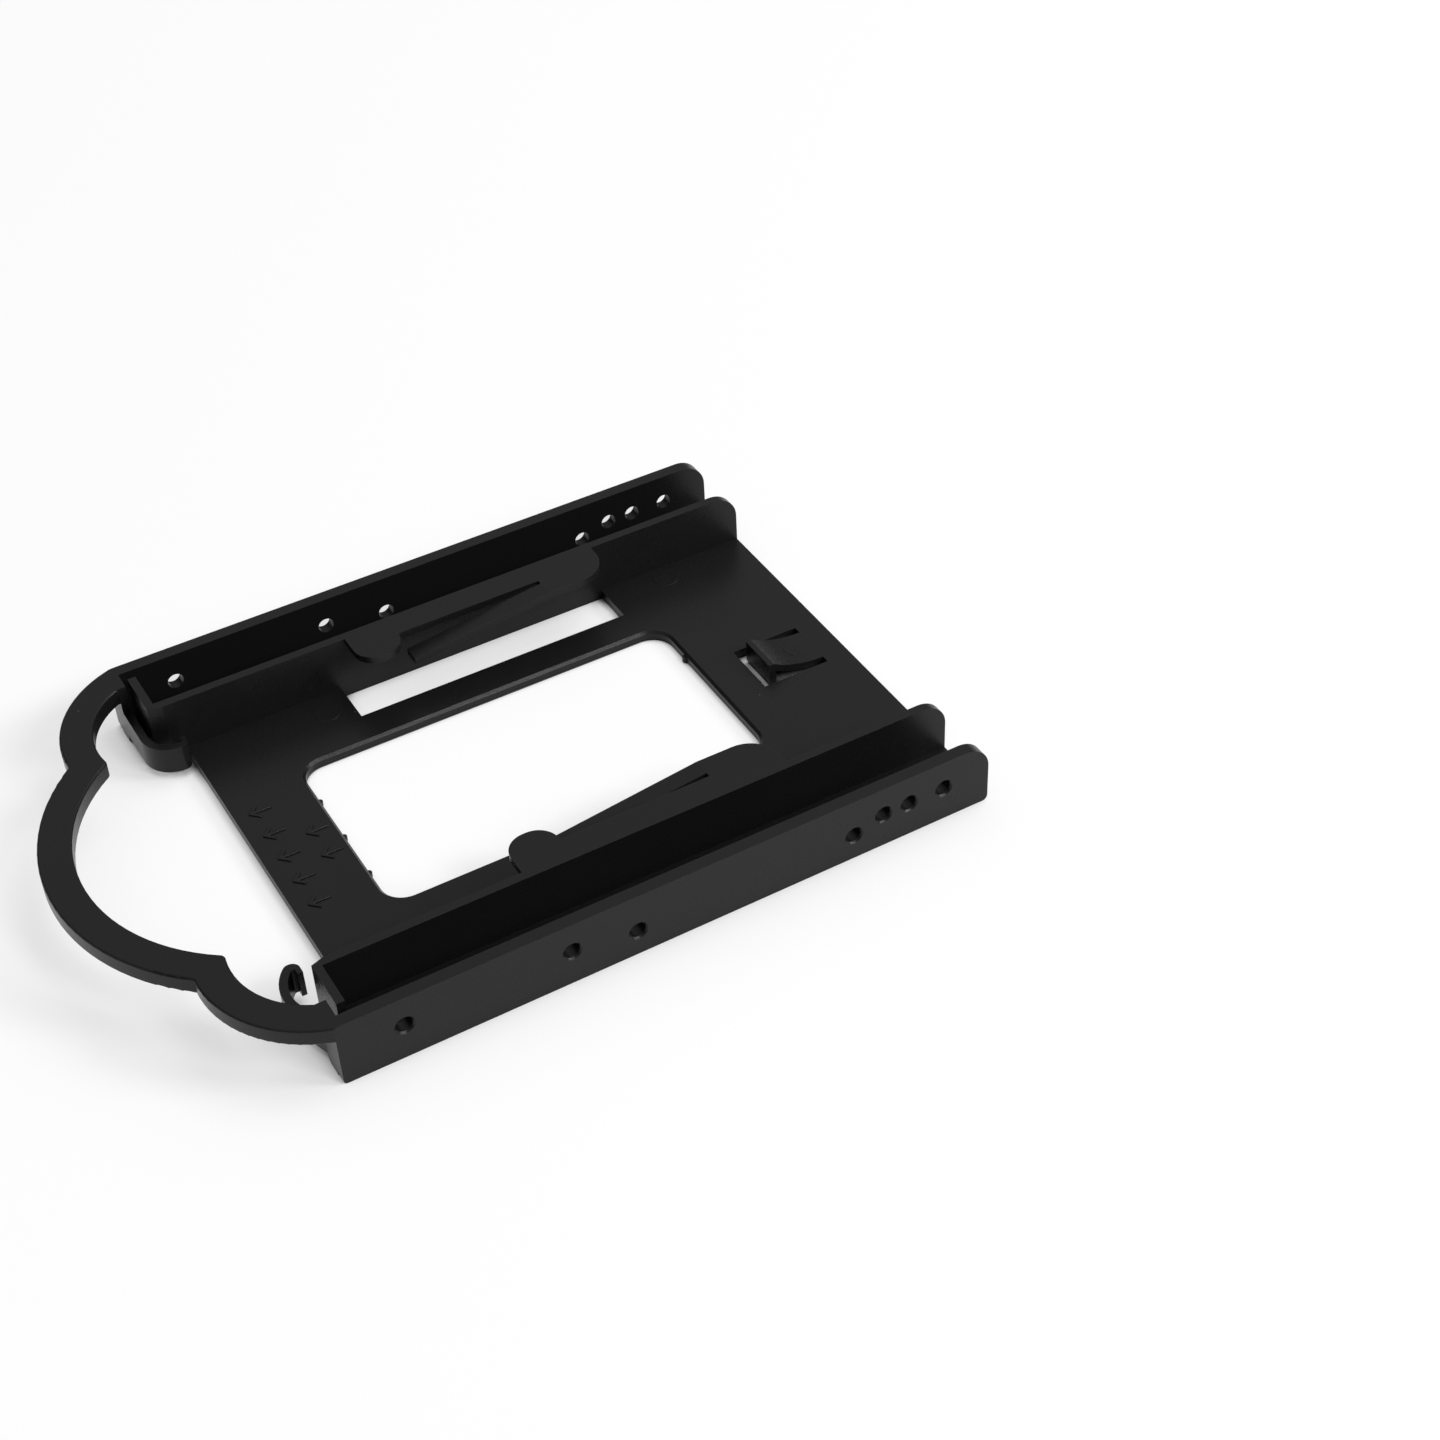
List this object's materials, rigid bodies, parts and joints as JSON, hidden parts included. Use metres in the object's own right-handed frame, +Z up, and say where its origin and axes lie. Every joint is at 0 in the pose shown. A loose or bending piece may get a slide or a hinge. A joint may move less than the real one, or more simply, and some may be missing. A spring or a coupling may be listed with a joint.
{
  "type": "drive bay adapter bracket",
  "caption": "Flat one-piece plastic tray with double side walls, spring fingers and a bow handle that holds a small drive in a wider drive bay.",
  "frame": {"origin": "middle of the width and of the whole length, handle included, on the plane of the walls' lower edges", "axes": "+X across the width, +Y along the side walls from the handle to the open rear end, +Z up"},
  "size_m": [0.1016, 0.15, 0.0129],
  "materials": {
    "black_plastic": "fine matte moulded grain"
  },
  "bodies": {
    "root": {"drive_bracket": "black_plastic"}
  },
  "joints": []
}
